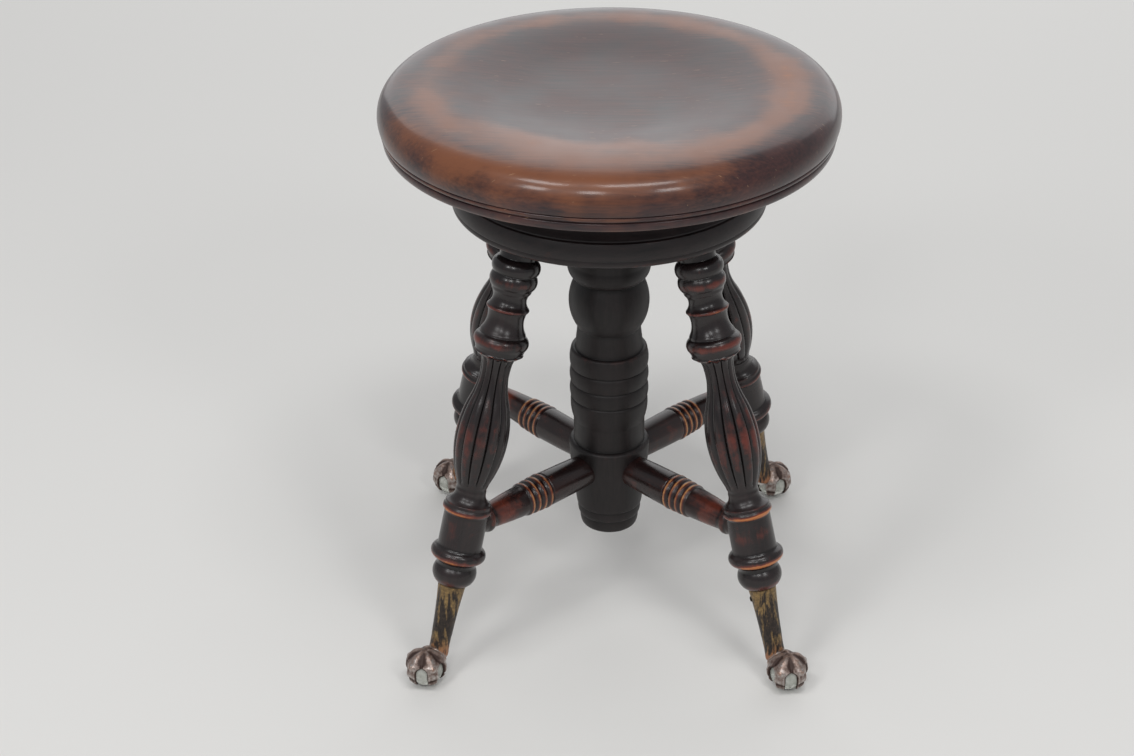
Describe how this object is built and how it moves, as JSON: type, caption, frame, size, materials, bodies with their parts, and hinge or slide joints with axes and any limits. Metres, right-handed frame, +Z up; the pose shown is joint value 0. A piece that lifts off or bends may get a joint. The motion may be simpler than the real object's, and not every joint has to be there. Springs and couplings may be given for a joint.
{
  "type": "revolving stool",
  "caption": "Round dished wooden seat on a screw that turns up and down in a turned post, on splayed turned legs with stretchers and claw feet holding glass balls.",
  "frame": {"origin": "on the floor, under the centre of the post", "axes": "+Z up along the screw, -Y towards the front, +X to the right as seen from the front; legs at 45 degrees between the axes"},
  "size_m": [0.3556, 0.3556, 0.4585],
  "materials": {
    "seat_wood": "dark stain under worn satin varnish",
    "frame_wood": "near-black stain, satin, worn to red-brown on the edges",
    "claw_metal": "bronzed casting, plating and gold paint worn",
    "ball_glass": "clear pressed glass, slightly grey-green",
    "cast_iron": "black japanned casting",
    "screw_iron": "greased cut thread",
    "screw_steel": "dull slotted wood screws",
    "pin_steel": "dull dark pin head",
    "washer_leather": "oiled"
  },
  "bodies": {
    "base": {"apron": "frame_wood", "center_post": "frame_wood", "threaded_nut": "cast_iron", "nut_screws": "screw_steel", "foot_pins": "pin_steel", "leg_back_right": "frame_wood", "stretcher_back_right": "frame_wood", "claw_foot_back_right": "claw_metal", "glass_ball_back_right": "ball_glass", "leg_back_left": "frame_wood", "stretcher_back_left": "frame_wood", "claw_foot_back_left": "claw_metal", "glass_ball_back_left": "ball_glass", "leg_front_left": "frame_wood", "stretcher_front_left": "frame_wood", "claw_foot_front_left": "claw_metal", "glass_ball_front_left": "ball_glass", "leg_front_right": "frame_wood", "stretcher_front_right": "frame_wood", "claw_foot_front_right": "claw_metal", "glass_ball_front_right": "ball_glass"},
    "riser": {"thrust_washer": "washer_leather"},
    "seat": {"seat": "seat_wood", "seat_spider": "cast_iron", "spider_screws": "screw_steel", "spindle": "screw_iron"}
  },
  "joints": [
    {"name": "seat_rise", "type": "slide", "parent": "base", "child": "riser", "axis": [0, 0, 1], "range_m": [0, 0.1]},
    {"name": "seat_turn", "type": "hinge", "parent": "riser", "child": "seat", "pos_m": [0, 0, 0.408], "axis": [0, 0, 1], "range_deg": [0, 5669]}
  ],
  "couplings": [
    {"joint": "seat_rise", "follows": "seat_turn", "m_per_rad": 0.0010106}
  ]
}
